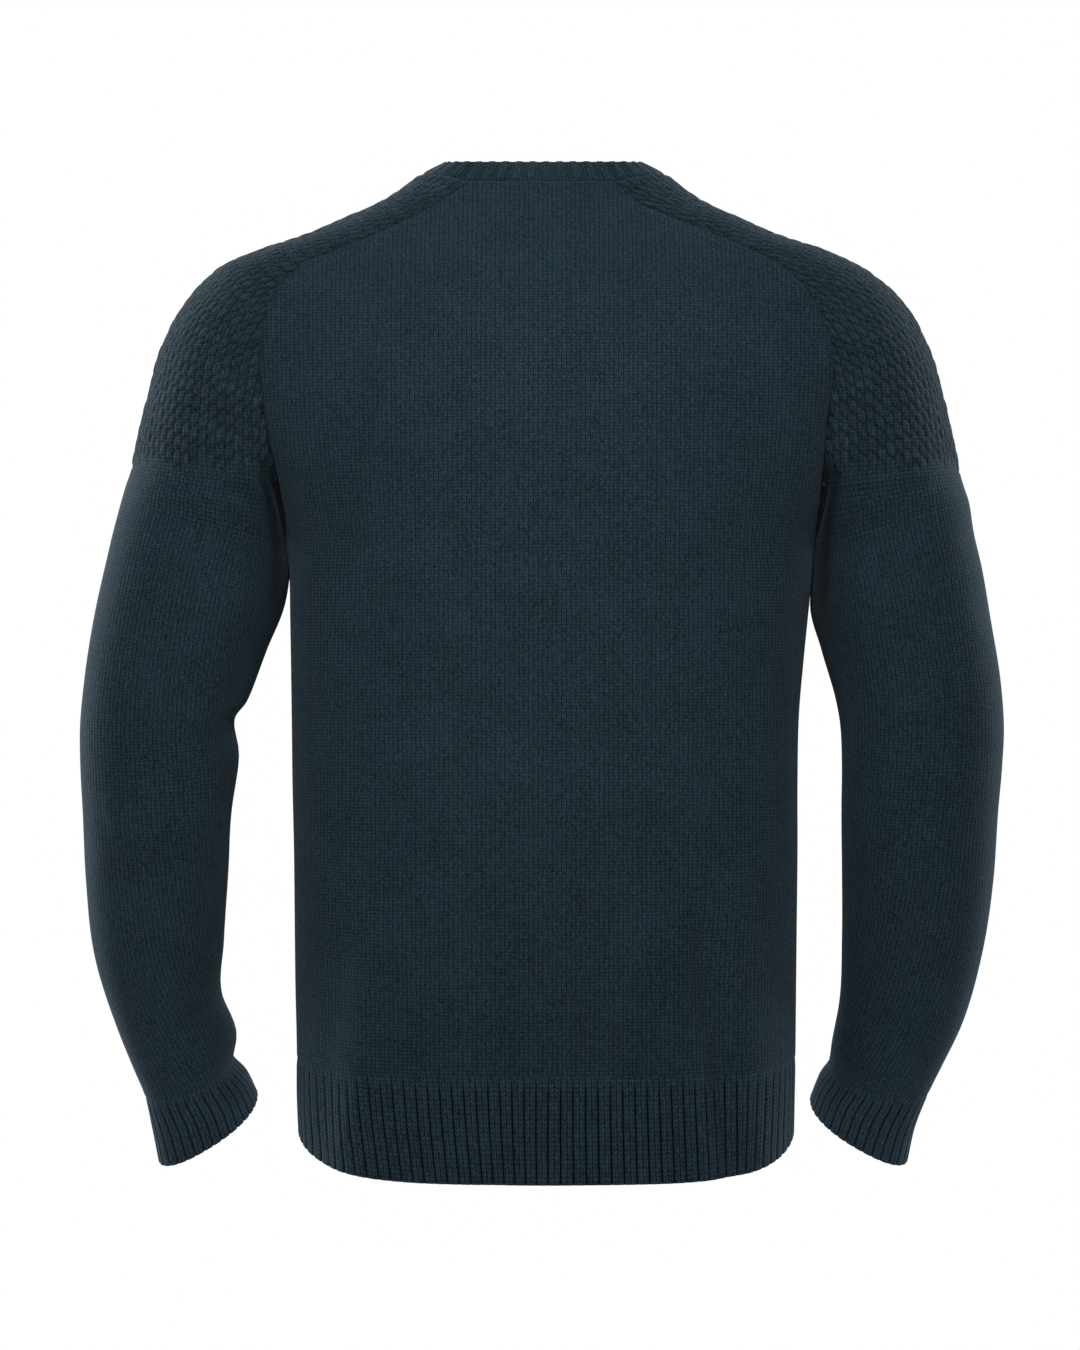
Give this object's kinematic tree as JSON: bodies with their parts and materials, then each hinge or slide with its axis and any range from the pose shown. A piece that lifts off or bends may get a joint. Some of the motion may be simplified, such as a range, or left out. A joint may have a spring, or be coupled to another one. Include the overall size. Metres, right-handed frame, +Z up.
{
  "type": "v-neck sweater",
  "caption": "Fine-knit v-neck jumper with textured saddle shoulders and ribbed neckband, cuffs and hem, hollow and filled out as worn, with nobody in it.",
  "frame": {"origin": "middle of the neck opening, level with the shoulder line, where the garment is held up", "axes": "+Z up the body, +X to the wearer's left, -Y out of the wearer's chest"},
  "size_m": [0.612, 0.233, 0.6708],
  "materials": {
    "jersey": "fine wool jersey, matt",
    "textured": "wool in a staggered bumpy knit, matt",
    "rib": "ribbed wool, matt"
  },
  "bodies": {
    "root": {"back_panel": "jersey", "front_panel": "jersey", "sleeve_left": "jersey", "sleeve_right": "jersey", "saddle_left": "textured", "saddle_right": "textured", "hem_rib_back": "rib", "hem_rib_front": "rib", "cuff_left": "rib", "cuff_right": "rib", "neckband": "rib"}
  },
  "joints": []
}
